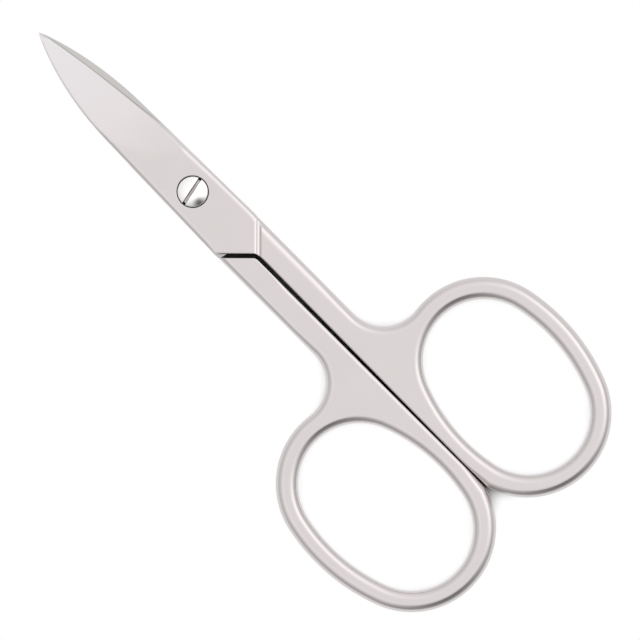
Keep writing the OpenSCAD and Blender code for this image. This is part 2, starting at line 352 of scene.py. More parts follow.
def ground_foot(curves):
    """Where the wheel's round meets the flat face: along the run-out, u from -10 to 0, the
    surface point at height STOCK."""
    u = np.linspace(-10, 0, 40)
    f = GRIND_R - np.sqrt(GRIND_R ** 2 - u ** 2)
    v = (u * ST - f * CT * CS) / (CT * SS)
    x = curves["back"][0] + u * CT + v * ST * SS + f * ST * CS
    y = curves["back"][1] + v * CS - f * SS
    return np.stack([x, y], -1)


def face_z(p, curves):
    """The outer face: flat at STOCK, or the ground face where that is lower. Polishing has
    softened the line between them: the drop d becomes k ln(1 + e^(d / k))."""
    x, y = p[..., 0], p[..., 1]
    drop = np.where(x > GROUND_FROM, STOCK - ground_z(x, y, curves), -1)
    return STOCK - SOFT * np.logaddexp(0, drop / SOFT) - groove_depth(x, y)


def bevel_z(p, curves):
    """The cutting bevel: it rises by PLATE over its width inwards from the edge's arc."""
    inwards = curves["edge_r"] - np.hypot(*np.moveaxis(p - curves["edge_at"], -1, 0))
    inwards = inwards + belly(p[..., 0], *EDGE_BELLY)
    rise = np.maximum(inwards, 0.012) * PLATE / np.interp(p[..., 0], *BEVEL)
    return np.where(p[..., 0] > BEVEL_FROM, LAP_Z + rise, np.inf)


def round_drop(depth, radius, flat=1.0):
    """Drop of a rounded edge: r - sqrt(r^2 - (r - depth)^2) times its flatness, and none past
    the radius."""
    left = np.clip(radius - depth, 0, None)
    return flat * (radius - np.sqrt(np.maximum(radius ** 2 - left ** 2, 0)))


for at_x in (10, 20):
    thick = float(face_z(np.array([at_x, 0.0]), upper_curves)) - LAP_Z
    print("blade", at_x, "mm from the pivot:", round(thick, 2), "mm thick in the middle")

# %% [markdown]
# Rows of points run parallel to an outline, like the steps of a file that breaks the edge. At
# a sharp corner the row turns where the two moved sides cross, and the points beside it slide
# along so that no row folds over. Where the groove leaves through the edge, a column is
# steered along it.

# %% Rows parallel to an outline
def inset(loop, depth, corners=(), fade=3.0):
    """Loop of n points moved inwards by depth, rows by n. A point moves along the mean normal
    of its two sides over the cosine of half the turn. A corner moves to where the two moved
    sides cross, and its slide along each side fades out over the distance fade."""
    side = np.roll(loop, -1, 0) - loop
    length = np.hypot(*side.T)
    along = side / length[:, None]
    normal = np.stack([-along[:, 1], along[:, 0]], -1)
    before = np.roll(normal, 1, 0)
    mitre = (normal + before) / (1 + (normal * before).sum(1))[:, None]
    move = depth[..., None] * mitre
    travel = np.concatenate([[0], np.cumsum(length)])
    total = travel[-1]
    for c in corners:
        last, ahead = (c - 1) % len(loop), (c + 1) % len(loop)
        pair = np.array([normal[last], normal[c]])
        cross = np.linalg.solve(pair, np.stack([depth[:, last], depth[:, ahead]])).T
        away = (travel[:-1] - travel[c] + total / 2) % total - total / 2
        weight = np.clip(1 - np.abs(away) / fade, 0, 1) * (np.arange(len(loop)) != c)
        slide = np.where(away > 0, (cross @ along[c])[:, None], (cross @ along[last])[:, None])
        tangent = np.where((away > 0)[:, None], along, np.roll(along, 1, 0))
        move = move + (slide * weight)[..., None] * tangent
        move[:, c] = cross
    return loop + move


def steered(loop, rows, depth, centre, heading, half, fade):
    """Rows whose columns within half of the column centre follow the heading instead of the
    normal: the move becomes heading * depth / (normal . heading), and fades back."""
    side = np.roll(loop, -1, 0) - np.roll(loop, 1, 0)
    normal = np.stack([-side[:, 1], side[:, 0]], -1) / np.hypot(*side.T)[:, None]
    heading = np.asarray(heading) / np.hypot(*heading)
    away = np.hypot(*(loop - loop[centre]).T)
    weight = np.clip(1 - (away - half) / fade, 0, 1)
    lead = np.where(weight > 0, normal @ heading, 1)
    goal = heading * (depth / lead)[..., None]
    return rows + weight[:, None] * (loop + goal - rows)


square = np.array([[0.0, 0.0], [10.0, 0.0], [10.0, 10.0], [0.0, 10.0]])
print("a 10 mm square, 1 mm further in:", inset(square, np.ones((1, 4)))[0].tolist())

# %% [markdown]
# A face between outline, finger hole and screw hole has no natural grid. It is filled with
# triangles between the last rows, with the creases of groove and grinding as fixed edges.

# %% Fill a face
def inside(points, loops):
    """Whether each point lies inside the loops: a ray to the left crosses them an odd number
    of times."""
    count = np.zeros(len(points), int)
    for loop in loops:
        a, b = loop, np.roll(loop, -1, 0)
        rise = np.where(b[:, 1] == a[:, 1], 1e-12, b[:, 1] - a[:, 1])
        spans = (a[:, 1] > points[:, 1:2]) != (b[:, 1] > points[:, 1:2])
        cut = a[:, 0] + (points[:, 1:2] - a[:, 1]) * (b[:, 0] - a[:, 0]) / rise
        count += (spans & (points[:, :1] < cut)).sum(1)
    return count % 2 == 1


def fill(plan, loops, chains=()):
    """Delaunay triangles of the plan for loops and open chains of indexes, kept where their
    middle is inside the loops, and turned anticlockwise."""
    used = np.unique(np.concatenate([np.ravel(c) for c in list(loops) + list(chains)]))
    local = np.full(len(plan), -1)
    local[used] = np.arange(len(used))
    edges = [np.stack([l, np.roll(l, -1)], 1) for l in loops]
    edges += [np.stack([c[:-1], c[1:]], 1) for c in chains if len(c) > 1]
    pairs = local[np.concatenate(edges)]
    out, _, faces, origin, _, _ = delaunay_2d_cdt(plan[used].tolist(), pairs.tolist(), [], 0,
                                                  1e-7)
    if len(out) != len(used) or not all(len(o) == 1 for o in origin):
        raise ValueError("two edges of a face cross or two of its points coincide")
    tri = used[np.array([o[0] for o in origin])[np.array(faces)]]
    tri = tri[inside(plan[tri].mean(1), [plan[l] for l in loops])]
    a, b, c = (plan[tri[:, i]] for i in range(3))
    area = (b[:, 0] - a[:, 0]) * (c[:, 1] - a[:, 1]) - (b[:, 1] - a[:, 1]) * (c[:, 0] - a[:, 0])
    tri, area = tri[np.abs(area) > 1e-10], area[np.abs(area) > 1e-10]
    tri[area < 0] = tri[area < 0][:, ::-1]
    return tri


def clearance(points, wall):
    """Distance from each point to the nearest point of the wall."""
    return np.hypot(points[:, None, 0] - wall[:, 0], points[:, None, 1] - wall[:, 1]).min(1)


def scattered(loops, low, high, spacing, clear, keep_off=()):
    """Grid points between the corners low and high that lie inside the loops and more than
    clear away from the points of the loops and of keep_off."""
    x, y = np.meshgrid(np.arange(low[0], high[0], spacing), np.arange(low[1], high[1], spacing))
    x = x + (np.arange(x.shape[0]) % 2)[:, None] * spacing / 2
    spots = np.stack([x.ravel(), y.ravel()], -1)
    spots = spots[inside(spots, loops)]
    return spots[clearance(spots, np.concatenate([*loops, *keep_off])) > clear]


print("a square fills with", len(fill(square, [np.arange(4)])), "triangles")

# %% [markdown]
# A piece is collected in blocks, rows joined by quads and faces filled with triangles, and
# built as one closed mesh. Each face carries its finish, or the shade painted on it, as a
# number, so that one material can show them all.

# %% Collect and build a mesh
SATIN, LAPPED_AND_SHADED, BLACK_SHADE = 0.0, 1.0, 2.0     # outside; lapped face, a little darker as painted shade; black painted shade in gaps


def placed(name, data):
    """A new object with that data, linked to the scene."""
    made = bpy.data.objects.new(name, data)
    bpy.context.scene.collection.objects.link(made)
    return made


class Blank:
    """Points in millimetres and faces of one piece, kept as blocks until it is built."""

    def __init__(self):
        self.blocks, self.faces, self.worn, self.size = [], [], [], 0

    def points(self, plan, z):
        """Adds points of a plan at heights z, and returns their indexes in the same shape."""
        block = np.concatenate([plan, np.broadcast_to(z, plan.shape[:-1])[..., None]], -1)
        index = self.size + np.arange(block[..., 0].size).reshape(block.shape[:-1])
        self.blocks.append(block.reshape(-1, 3))
        self.size += index.size
        return index

    def plan(self):
        """The x and y of all points so far."""
        return np.concatenate(self.blocks)[:, :2]

    def cover(self, faces, finish_and_shade=SATIN):
        """Adds faces, with one finish or painted shade for all of them or one for each."""
        self.faces.append(faces)
        self.worn.append(np.broadcast_to(finish_and_shade, len(faces)))

    def band(self, rows, finish_and_shade=SATIN, closed=True):
        """Quads between each row of indexes and the next, the finish or painted shade one for all
        of them or one for each column."""
        rows = np.concatenate([rows, rows[:, :1]], 1) if closed else rows
        quads = np.stack([rows[:-1, :-1], rows[:-1, 1:], rows[1:, 1:], rows[1:, :-1]], -1)
        self.cover(quads.reshape(-1, 4), np.broadcast_to(finish_and_shade, quads.shape[:2]).ravel())

    def build(self, name, turn_over=False, sharp=15.0):
        """Makes the object in metres. turn_over lays it on its other face, and edges that turn
        by more than sharp degrees are shaded as edges."""
        points = np.concatenate(self.blocks)
        if turn_over:
            points = points * [1, -1, -1] + [0, 0, STOCK]
        faces = [f for block in self.faces for f in block.tolist()]
        mesh = bpy.data.meshes.new(name)
        mesh.from_pydata((points * MM).tolist(), [], faces)
        mesh.polygons.foreach_set("use_smooth", np.ones(len(faces), bool))
        finish_and_shade = mesh.attributes.new("finish_and_shade", "FLOAT", "FACE")
        finish_and_shade.data.foreach_set("value", np.concatenate(self.worn).astype(np.float32))
        mesh.set_sharp_from_angle(angle=math.radians(sharp))
        print(name, len(mesh.vertices), "points,", len(mesh.polygons), "faces")
        return placed(name, mesh)


print("finishes", dict(satin=SATIN, lapped_and_shaded=LAPPED_AND_SHADED, in_shade=BLACK_SHADE))

# %% [markdown]
# Polishing rounds the upper edge of a half. The Bevel modifier would round every edge alike,
# but rows of points can follow the outline's own width and flatness, and keep to the ground
# face and the bevel where those are lower. One more row on the flat keeps the shading level
# there.

# %% Upper rim
ROWS = 8
SHARE = 1 - np.cos(np.linspace(0, math.pi / 2, ROWS + 1))   # depths of the rows in a rounding
LANDING = 0.08                    # one more row on the flat
STEER = (0.9, 2.4)                # how far the rows follow the groove, and fade back
WIDEST, KEEN = 0.52, 0.03         # more than any bevel's width; thickness left at the edge
BEVEL_SHADE_W = 0.4                     # width of the strip along the joint's side and the bevel that is painted darker as shade


def break_r(p):
    """Radius that breaks the edge of a ground face: wide on the back of the blade, where it
    narrows to the tip, and on the last of the joint's side; fine everywhere else."""
    x = p[..., 0]
    back = np.where(x > EDGE_X, np.interp(x, [EDGE_X, 13, 19, TIP_X], [0.5, 0.42, 0.3, 0.15]),
                    0.06)
    return np.where(p[..., 1] > 0, back, np.interp(x, [3, 5, 7.5, 10], [0.06, 0.75, 0.65, 0.06]))


def rim_depth(loop, radius, flat, curves):
    """How far in each column's edge section meets the outer face, by halving the interval."""
    lead = inset(loop, np.ones((1, len(loop))))[0] - loop
    low = np.zeros(len(loop))
    high = np.where(loop[:, 0] > BEVEL_FROM, np.maximum(radius, WIDEST), radius)
    for _ in range(26):
        middle = (low + high) / 2
        p = loop + lead * middle[:, None]
        top = np.minimum(STOCK - round_drop(middle, radius, flat), bevel_z(p, curves))
        reached = top >= np.minimum(STOCK, face_z(p, curves) + groove_depth(*p.T)) - 1e-6
        low, high = np.where(reached, low, middle), np.where(reached, middle, high)
    return np.maximum(high, break_r(loop))


def upper_rim(blank, loop, edge, marks, curves):
    """Rows from the side in to the outer face, each point at the lowest of rounding, bevel and
    broken ground face, and the row mid at the height of the mating face. The wall at the end of
    the plate is painted black as shade, and the outer strip of the last of the side and of the
    bevel is painted darker as shade towards the cutting edge."""
    radius, flat = edge
    depth = rim_depth(loop, radius, flat, curves)
    depths = np.concatenate([SHARE[:, None] * depth, depth[None] + LANDING])
    rows = inset(loop, depths, [marks["tip"], marks["meet"]])
    for columns, heading in (("groove_in", (1, -1)), ("groove_out", (-1, 1))):
        rows = steered(loop, rows, depths, marks[columns][len(GROOVE) // 2], heading, *STEER)
    broken = round_drop(depths, break_r(loop), np.where(loop[:, 1] > 0, 1, FLAT))
    profile = np.minimum(STOCK - round_drop(depths, radius, flat), bevel_z(rows, curves))
    top = np.minimum(profile, face_z(rows, curves) - broken)
    top[-1] = np.minimum(face_z(rows[-1], curves), bevel_z(rows[-1], curves))
    upper = blank.points(rows, np.maximum(top, LAP_Z + KEEN))
    mid = blank.points(loop, LAP_Z)
    column = np.arange(len(loop))
    # The wall at the end of the plate faces the gap: painted black as shade.
    in_gap = (column >= marks["cut"]) & (column < marks["gap"])
    blank.band(np.stack([mid, upper[0]]), np.where(in_gap, BLACK_SHADE, SATIN))
    # The outer strip along the last of the side and the bevel: painted darker as shade.
    bevel_shade = np.interp(loop[:, 0], [EDGE_X - 5, EDGE_X + 1], [SATIN, LAPPED_AND_SHADED])
    bevel_shade = np.where((column > marks["gap"]) & (depths[1:] < BEVEL_SHADE_W), bevel_shade, SATIN)
    bevel_shade[ROWS:] = SATIN
    blank.band(upper, bevel_shade)
    return mid, upper


print("rows of a 1 mm rounding lie", np.round(SHARE, 2).tolist(), "mm in")

# %% [markdown]
# Underneath, the thick handle ends in a slanting shoulder, which the plate of the other half
# stops against. The lower edge is rounded too, narrow at the shoulder and wide round the
# ring. The shoulder is painted black, as painted shade in the gap.

# %% Lower rim and shoulder
BEND_AT, BEND_R = np.array([-11.994, -0.95]), 0.7
LOW_R, LOW_GAP_R, LOW_GAP_FLAT = 0.82, 0.55, 0.45     # rounding along the shank and the gap
FORK_END = -25.0                  # in front of it the side of the shank is straight


def shoulder_line():
    """The slanting line of the shoulder and its bend, without the two ends."""
    slant = straight([SHANK_Y - BACK_X, -SHANK_Y], BEND_AT + BEND_R * math.sqrt(0.5), 0.3)
    return np.concatenate([slant[1:-1], arc(BEND_AT, BEND_R, 45, 90, 0.1)[:-1]])


def lower_rim(blank, loop, radius, marks, mid):
    """Rows of the lower edge round the handle and along the shoulder, and the ledge at the foot
    of the shoulder. Along the straight side the drop is counted from the side itself, so that
    it runs out through the shoulder."""
    shoulder = shoulder_line()
    first, last = marks["gap"], marks["shoulder"]
    at_meet = marks["meet"] - first
    handle = np.concatenate([loop[first:last + 1], shoulder])
    low_r = np.interp(handle[:, 0], [-27, -22], [EDGE_R, LOW_R])
    width = np.append(radius[first:last + 1], np.full(len(shoulder), FINE_R))
    width = np.where(handle[:, 1] < -3, low_r, width)
    width[last - first + 1:] = FINE_R
    flat = np.ones(len(handle))
    along = handle[:at_meet, 0] - handle[at_meet, 0]
    width[:at_meet] = np.interp(along, [0, 4, 36, 39], [EDGE_R, LOW_GAP_R, LOW_GAP_R, FINE_R])
    flat[:at_meet] = np.interp(along, [0, 4], [1, LOW_GAP_FLAT])
    depths = np.concatenate([SHARE[:, None] * width, width[None] + LANDING])
    rows = inset(handle, depths, [last - first, at_meet], fade=2.6)
    by_side = round_drop(np.maximum(rows[..., 1] + SHANK_Y, 0), low_r)
    low = np.maximum(round_drop(depths, width, flat),
                     np.where(handle[:, 0] > FORK_END, by_side, 0))
    low[-1] = 0
    lower = blank.points(rows, low)
    ledge = blank.points(shoulder, LAP_Z)
    blank.band(lower[::-1])
    # The wall of the shoulder is painted black as shade.
    blank.band(np.stack([lower[0], np.concatenate([mid[first:last + 1], ledge])]),
               np.where(np.arange(len(handle)) > last - first, BLACK_SHADE, SATIN))
    return lower, ledge


print("shoulder of", len(shoulder_line()), "points")

# %% [markdown]
# The finger hole is rounded on both sides, and the screw hole is a turned surface with a
# seat. Both are rows of points all round. A cylinder cut out with a Boolean modifier would
# have neither the rounding nor clean rings.

# %% Finger hole and screw hole
BORE_POINTS = 72                  # points round the screw hole


def finger_hole(blank):
    """First and last rows of the hole. It runs clockwise, so that the metal is on its left as
    it is for the outline."""
    middles, end_r, flat_r = oval_arcs(HOLE_AT, HOLE_W, HOLE_SWELL)
    arcs = [(0, end_r, JOIN, -JOIN), (3, flat_r, 360 - JOIN, 180 + JOIN),
            (2, end_r, 180 + JOIN, 180 - JOIN), (1, flat_r, 180 - JOIN, JOIN)]
    hole = np.concatenate([arc(middles[k], r, a + TILT, b + TILT)[:-1] for k, r, a, b in arcs])
    reach = np.append(SHARE * EDGE_R, EDGE_R + LANDING)
    rows = inset(hole, np.repeat(reach[:, None], len(hole), 1))
    drop = np.append(round_drop(SHARE * EDGE_R, EDGE_R), 0)[:, None]
    rows = np.concatenate([blank.points(rows[::-1], drop[::-1]),
                           blank.points(rows, STOCK - drop)])
    blank.band(rows)
    return rows[0], rows[-1]


def screw_hole(blank, bore, seat_r):
    """First and last rings of the hole. The bore is a list of radius and height from the
    mating face up. Its step that reaches seat_r is the seat of the screw head, which is painted
    black as shade and shows as a dark ring."""
    turn = -np.linspace(0, 2 * math.pi, BORE_POINTS, endpoint=False)
    radii, heights = np.array(bore).T
    rings = blank.points(radii[:, None, None] * unit(turn), heights[:, None])
    seat = (radii < seat_r) & (np.roll(radii, -1) >= seat_r)
    # The seat is painted black as shade round the head.
    blank.band(rings, np.where(seat, BLACK_SHADE, SATIN)[:-1, None])
    return rings[0], rings[-1]


print("finger hole", round(HOLE_W + 12 * HOLE_SWELL, 2), "by", HOLE_W, "mm")

# %% [markdown]
# The mating face of a blade is ground hollow, so that two blades touch only at their edges.
# It is lapped, and painted a little darker as shade. A corner at the end of the plate is
# painted black as shade: seen from above, it is the floor of the black gap beside the chevron.

# %% Outer face and mating face
HOLLOW_X, HOLLOW_L, HOLLOW_D, HOLLOW_R = 6, 21.5, 0.12, 29.04
BLACK_SHADE_LINE = 11.04                   # past the line x + y = -11.04 the mating face is painted black as shade
GAP_OPEN = 1.0                    # length over which the painted black shade of the chevron gap comes in


def hollow_z(p, tip_y):
    """The mating face: a cylinder of radius HOLLOW_R that is sunk by HOLLOW_D at HOLLOW_X and
    runs out of the face over HOLLOW_L, in the direction of the tip."""
    angle = math.atan(tip_y / TIP_X)
    x = (p[..., 0] - HOLLOW_X) * math.cos(angle) + p[..., 1] * math.sin(angle)
    y = p[..., 1] * math.cos(angle) - (p[..., 0] - HOLLOW_X) * math.sin(angle)
    sunk = HOLLOW_D * (1 - x / HOLLOW_L) - y ** 2 / (2 * HOLLOW_R)
    return LAP_Z + np.where(x > 0, np.maximum(sunk, 0), 0)


def outer_face(blank, loops, marks, curves):
    """Fills the outer face between its loops, with the lines of the groove and the foot of the
    grinding as fixed edges, and points scattered over the ground face."""
    plan = blank.plan()
    walls = [plan[l] for l in loops]
    foot = ground_foot(curves)
    foot = foot[inside(foot, walls[:1])]
    foot = foot[clearance(foot, np.concatenate(walls)) > 0.12]
    spots = scattered(walls, (2.6, -4), (TIP_X, 4), 0.4, 0.22, [foot])
    run_out = blank.points(foot, face_z(foot, curves))
    field = blank.points(spots, face_z(spots, curves))
    groove = [loops[0][[a, b]] for a, b in zip(marks["groove_in"], marks["groove_out"])]
    blank.cover(fill(blank.plan(), loops, groove + [run_out, *field[:, None]]))


def mating_face(blank, tip_y, mid, marks, ledge, bore):
    """Fills the mating face. A face is painted black as shade where its middle lies beyond the
    lapped part and on the far side of the line from the ledge to the place where the painted
    shade of the gap is full; the rest is lapped, painted a little darker as shade."""
    first, last = marks["gap"], marks["shoulder"]
    plan = blank.plan()
    loops = [np.concatenate([mid[last:], mid[:first + 1], ledge[::-1]]), bore]
    spots = scattered([plan[l] for l in loops], (5.5, -4), (TIP_X, 4), 0.5, 0.25)
    field = blank.points(spots, hollow_z(spots, tip_y))
    start = plan[ledge[0]]
    stop = start + GAP_OPEN * np.array([-1, 1]) / math.sqrt(2) - (BLACK_SHADE_LINE + start.sum()) / 2
    turn_at = blank.points(stop[None], LAP_Z)
    plan = blank.plan()
    chain = np.array([mid[marks["corner"]], turn_at[0], ledge[0]])
    faces = fill(plan, loops, [chain, *field[:, None]])[:, ::-1]
    middle = plan[faces].mean(1)
    (ax, ay), (bx, by) = stop - start, (middle - start).T
    # Faces in the corner of the gap are painted black as shade.
    in_shade = (middle.sum(1) < -BLACK_SHADE_LINE) & (ax * by > ay * bx)
    blank.cover(faces, np.where(in_shade, BLACK_SHADE, LAPPED_AND_SHADED))


print("hollow of the blade", HOLLOW_D, "mm deep,", HOLLOW_L, "mm long")

# %% [markdown]
# A half is all of this in turn. The upper half is bored and countersunk for the screw, and
# the lower one is tapped. The lower half is the same forging laid on its other face, its tip
# leaning the other way.

# %% The two halves
def scissor_half(name, tip_y, bore, turn_over, seat_r=math.inf):
    """Builds a half from its outline, finger hole and screw hole."""
    loop, edge, marks, curves = half_outline(tip_y)
    blank = Blank()
    mid, upper = upper_rim(blank, loop, edge, marks, curves)
    lower, ledge = lower_rim(blank, loop, edge[0], marks, mid)
    hole_low, hole_up = finger_hole(blank)
    bore_low, bore_up = screw_hole(blank, bore, seat_r)
    outer_face(blank, [upper[-1], hole_up, bore_up], marks, curves)
    blank.cover(fill(blank.plan(), [lower[-1], hole_low])[:, ::-1])
    mating_face(blank, tip_y, mid, marks, ledge, bore_low)
    return blank.build(name, turn_over)


front_bore = [(1.34, LAP_Z), (1.3, 1.68), (1.3, 2.35), (2.06, 3.11), (2.09, 3.18),
              (2.14, STOCK), (2.22, STOCK)]
rear_bore = [(1.15, LAP_Z), (1.11, 1.68), (1.11, 3.12), (1.19, STOCK), (1.27, STOCK)]
front_half = scissor_half("upper_blade_half", -TIP_LEAN, front_bore, turn_over=False,
                          seat_r=2.06)
rear_half = scissor_half("lower_blade_half", TIP_LEAN, rear_bore, turn_over=True)

# %% [markdown]
# The screw is turned from bar: a low domed head with a slot sawn right across it, a cone that
# seats in the upper half, a neck and a threaded end filed flush. The slot splits the dome
# into two D-shaped caps, and each is an outline with rows, like a half.

# %% Caps of the screw head
HEAD_R, DOME_H = 1.97, 0.546
RIM_R, SAWN_R = 0.1, 0.04         # roundings of the rim and of the edge of the slot
CONE_AT = 1.15                    # the 45 degree cone of the head has the radius z - CONE_AT
SLOT_HALF, SLOT_OFF, SLOT_Z = 0.21, 0.12, 2.85     # half its width, off the middle by, floor
DOME_R = ((HEAD_R + 0.08) ** 2 + DOME_H ** 2) / (2 * DOME_H)     # meets STOCK 0.08 outside
WAIST = SLOT_Z - CONE_AT          # radius of the cone at the floor of the slot
CHORD, SWEEP = np.linspace(-1, 1, 41), np.linspace(0, 1, 49)


def dome_z(p):
    """Height of the domed head: sqrt(R^2 - rho^2) above the middle of its sphere."""
    return STOCK + DOME_H - DOME_R + np.sqrt(DOME_R ** 2 - (p ** 2).sum(-1))


def domed_cap(blank, flip):
    """One cap, the cone below it and its wall of the slot; flip is 1 or -1 for the two sides.
    Returns the ring at the waist and this side of the slot's floor."""
    end = len(CHORD) - 1
    edge = SLOT_HALF - flip * SLOT_OFF                      # distance of this side of the slot
    lines, turns = [], []
    for r in (HEAD_R, WAIST):
        start = math.degrees(math.asin(edge / r))
        lines.append(np.stack([CHORD * math.sqrt(r * r - edge ** 2), np.full(end + 1, edge)], -1))
        turns.append(r * unit(np.radians(start + (180 - 2 * start) * SWEEP)))
    cap = np.concatenate([lines[0][:-1], turns[0][:-1]])
    size = np.where(np.arange(len(cap)) <= end, SAWN_R, RIM_R)
    depths = np.concatenate([SHARE[::2, None] * size, size[None] + 0.03])
    rows = inset(cap, depths, [0, end], fade=0.5)
    z = dome_z(rows) - round_drop(depths, size)
    z[0, [0, end]] = dome_z(cap[0]) - RIM_R
    z[-1] = dome_z(rows[-1])
    upper = blank.points(rows * flip, z)
    ring = blank.points(turns[1] * flip, SLOT_Z)
    floor = blank.points(lines[1][1:-1] * flip, SLOT_Z)
    floor = np.concatenate([ring[-1:], floor, ring[:1]])
    blank.band(upper)
    blank.band(np.stack([ring, np.append(upper[0, end:], upper[0, 0])]), closed=False)
    # The walls of the slot take the lapped colour, darker as painted shade.
    blank.band(np.stack([floor, upper[0, :end + 1]]), LAPPED_AND_SHADED, closed=False)
    spots = scattered([rows[-1]], (-2.1, 0), (2.1, 2.1), 0.16, 0.1)
    field = blank.points(spots * flip, dome_z(spots))
    blank.cover(fill(blank.plan(), [upper[-1]], field[:, None]))
    return ring, floor


print("dome of radius", round(DOME_R, 2), "mm, waist of", round(WAIST, 2), "mm")

# %% [markdown]
# Between the caps lies the floor of the slot, its corners darkened as painted shade. Below it
# the screw is a plain turning: rings of points whose radii and heights are its profile.

# %% Pivot screw
FLOOR = np.array([0.7, 0.3, -0.1, -0.55])            # lines along the floor, in half widths
SLOT_SHADE = LAPPED_AND_SHADED + np.array([0.7, 0, 0, 0, 0.3])       # painted shade of the strips between them, darker at the corners
SHANK = np.array([(1.25, 2.4), (1.25, PLATE + 0.02), (1.1, PLATE - 0.02), (1.1, 0.1), (1.0, 0)])


def pivot_screw(name, direction):
    """Caps, floor of the slot and shank, all turned by the direction of the slot."""
    blank = Blank()
    (ring_a, side_a), (ring_b, side_b) = domed_cap(blank, 1), domed_cap(blank, -1)
    across = FLOOR[:, None] * SLOT_HALF - SLOT_OFF
    reach = np.sqrt(WAIST ** 2 - across ** 2)
    strip = np.stack(np.broadcast_arrays(CHORD * reach, across), -1)
    grid = np.concatenate([side_a[None], blank.points(strip, SLOT_Z), side_b[None, ::-1]])
    # The floor of the slot is painted darker as shade, most at its corners.
    blank.band(grid[::-1], SLOT_SHADE[:, None], closed=False)
    # the waist ring closes over the ends of the slot
    ring = np.concatenate([ring_a, grid[1:-1, 0], ring_b, grid[1:-1, -1][::-1]])
    at = blank.plan()[ring]
    radii, heights = SHANK.T
    shank = blank.points(radii[:, None, None] * at / np.hypot(*at.T)[:, None], heights[:, None])
    blank.band(np.concatenate([shank[::-1], ring[None]]))
    blank.cover(fill(blank.plan(), [shank[-1]])[:, ::-1])
    c, s = math.cos(direction), math.sin(direction)
    blank.blocks = [b @ np.array([[c, s, 0], [-s, c, 0], [0, 0, 1]]) for b in blank.blocks]
    return blank.build(name, sharp=18)


screw = pivot_screw("slotted_pivot_screw", direction=math.radians(102))

# %% [markdown]
# A material is a small network of nodes. Three moves come back all the time: a node with its
# values, one range of numbers mapped to another, and a mix with a fixed value.

# %% Helpers for materials
def node(tree, kind, **values):
    """A node of that kind, with its settings and the values of its inputs."""
    made = tree.nodes.new(kind)
    for key, value in values.items():
        if hasattr(made, key):
            setattr(made, key, value)
        else:
            made.inputs[key.replace("_", " ")].default_value = value
    return made


def ramp(tree, value, low, high, start=0.0, stop=1.0):
    """From start to stop, as the value goes from low to high."""
    made = node(tree, "ShaderNodeMapRange", From_Min=low, From_Max=high, To_Min=start,
                To_Max=stop)
    tree.links.new(value, made.inputs["Value"])
    return made.outputs["Result"]


def blend(tree, share, now, then, kind="RGBA"):
    """now (1 - share) + then share, where then is a fixed colour or number."""
    made = node(tree, "ShaderNodeMix", data_type=kind)
    made.inputs["B"].default_value = then
    tree.links.new(share, made.inputs["Factor"])
    tree.links.new(now, made.inputs["A"])
    return made.outputs["Result"]


print("helpers:", node.__name__, ramp.__name__, blend.__name__)

# %% [markdown]
# The steel is satin, brushed so finely that it only shows as a soft sheen. A metal's colour
# is the share of the light that it throws back: slightly warm, with faint clouds, and paler
# towards the tips, which is a painted brighter reflection on the ground face. Lapped faces
# are painted a little darker as shade, and gaps and recesses black as painted shade.
# Roughness and bump carry the grain at its real size. The head of the screw is polished, so
# it mirrors the room.

# %% Steel finishes
TIP_SHEEN = (0.71, 0.685, 0.7, 1)                    # colour that the blade pales to, a painted brighter reflection
BLACK_SHADE_PAINT = ((0.05, 0.045, 0.045), 0.7)               # colour and roughness of the black painted shade in gaps and recesses


def steel(name, dark, light, rough, grain, bump, scale, lapped_and_shaded):
    """A metal with clouds between two colours, paler towards the tips as a painted brighter
    reflection, a roughness that varies by the grain and a fine bump. The finish or painted shade
    of a face turns it to the lapped colour and roughness, that colour darker as painted shade,
    and in gaps and recesses to a near black, which is painted shade."""
    material = bpy.data.materials.new(name)
    material.use_nodes = True
    tree = material.node_tree
    link = tree.links.new
    shader = tree.nodes["Principled BSDF"]
    shader.inputs["Metallic"].default_value = 1.0
    place = node(tree, "ShaderNodeTexCoord")
    clouds = node(tree, "ShaderNodeTexNoise", Scale=scale / 40, Detail=3.0)
    fine = node(tree, "ShaderNodeTexNoise", Scale=scale, Detail=4.0)
    axes = node(tree, "ShaderNodeSeparateXYZ")
    for made in (clouds, fine, axes):
        link(place.outputs["Object"], made.inputs["Vector"])
    cloudy = node(tree, "ShaderNodeMix", data_type="RGBA")
    cloudy.inputs["A"].default_value = (*dark, 1)
    cloudy.inputs["B"].default_value = (*light, 1)
    link(clouds.outputs["Fac"], cloudy.inputs["Factor"])
    # Paler towards the tips: a painted brighter reflection.
    tip_sheen = ramp(tree, axes.outputs["X"], 0.01, 0.026)
    colour = blend(tree, tip_sheen, cloudy.outputs["Result"], TIP_SHEEN)
    roughness = ramp(tree, fine.outputs["Fac"], 0.3, 0.7, rough - grain, rough + grain)
    finish_and_shade = node(tree, "ShaderNodeAttribute", attribute_name="finish_and_shade")
    # Lapped faces turn darker as painted shade; gaps and recesses turn black as painted shade.
    for low, (tint, blur) in ((SATIN, lapped_and_shaded), (LAPPED_AND_SHADED, BLACK_SHADE_PAINT)):
        share = ramp(tree, finish_and_shade.outputs["Fac"], low, low + 1)
        colour = blend(tree, share, colour, (*tint, 1))
        roughness = blend(tree, share, roughness, blur, "FLOAT")
    relief = node(tree, "ShaderNodeBump", Strength=bump, Distance=0.00002)
    link(fine.outputs["Fac"], relief.inputs["Height"])
    link(relief.outputs["Normal"], shader.inputs["Normal"])
    link(colour, shader.inputs["Base Color"])
    link(roughness, shader.inputs["Roughness"])
    return material


